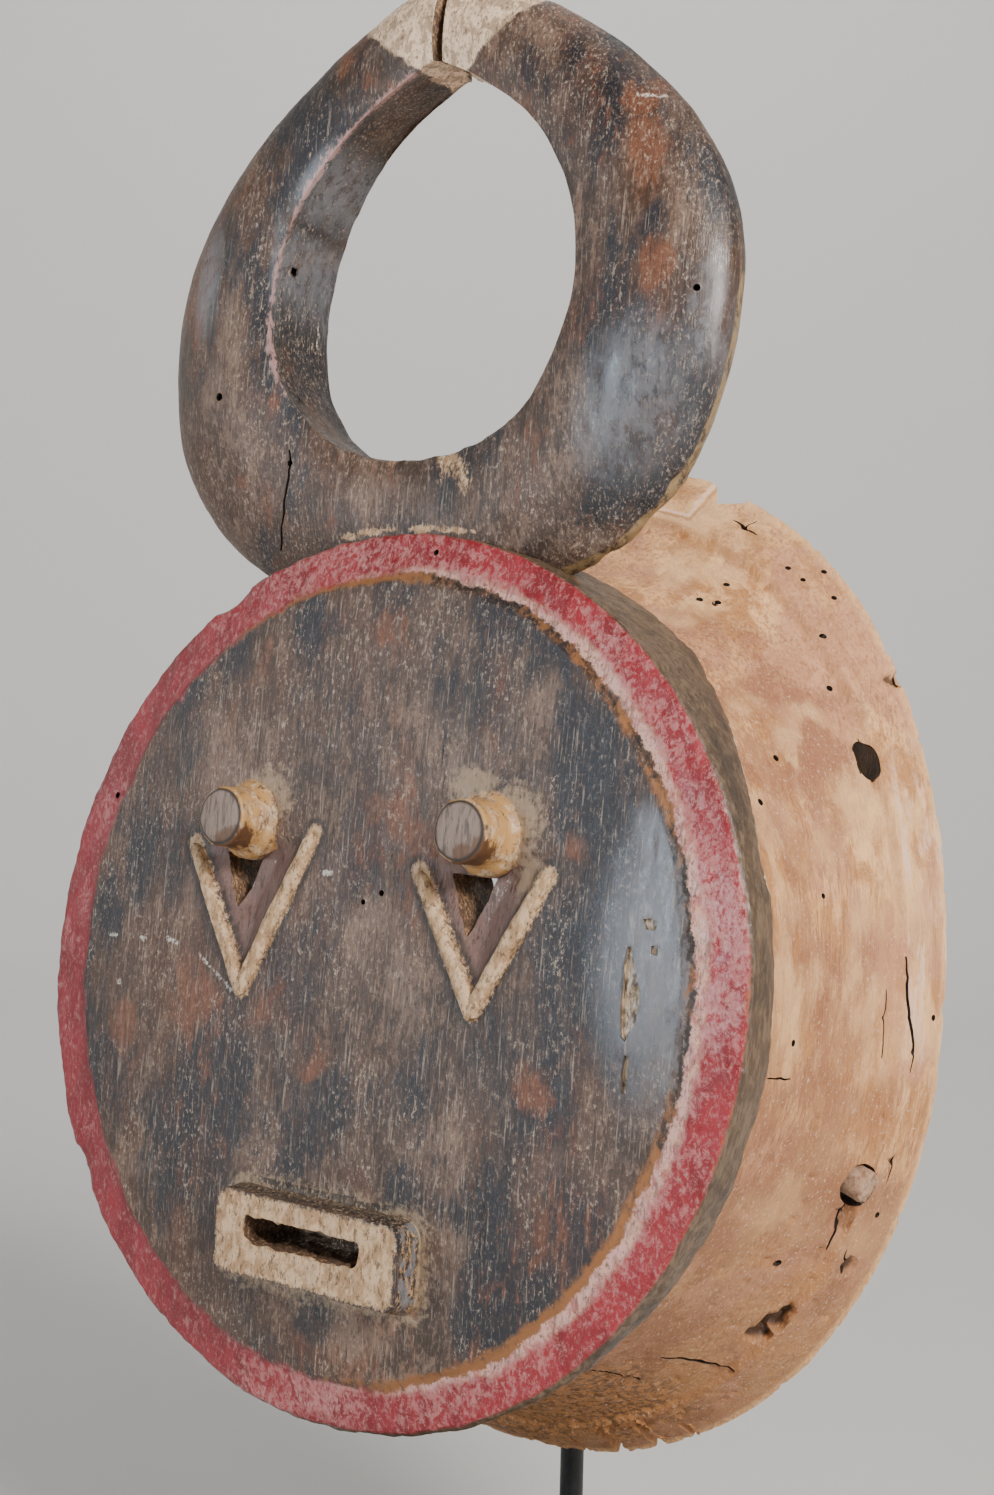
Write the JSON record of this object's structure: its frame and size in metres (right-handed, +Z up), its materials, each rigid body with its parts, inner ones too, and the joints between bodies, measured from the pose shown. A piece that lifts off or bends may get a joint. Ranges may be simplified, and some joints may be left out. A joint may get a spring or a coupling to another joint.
{
  "type": "goli mask on a stand",
  "caption": "Round carved and painted wooden face mask with a closed horn loop on top and a deep hollow back, held upright by a slim steel rod on a foot plate.",
  "frame": {"origin": "centre of the foot plate's underside", "axes": "+Z up, +X to the right of someone who looks at the face, +Y to the back of the mask"},
  "size_m": [0.27, 0.19, 0.5466],
  "materials": {
    "mask_wood": "worn paint over carved wood, dark face and horns, red rim band, bare tan shell",
    "peg_wood": "broken bare wood",
    "stand_steel": "satin black"
  },
  "bodies": {
    "root": {"mask": "mask_wood", "rim_peg": "peg_wood", "stand_rod": "stand_steel", "foot_plate": "stand_steel"}
  },
  "joints": []
}
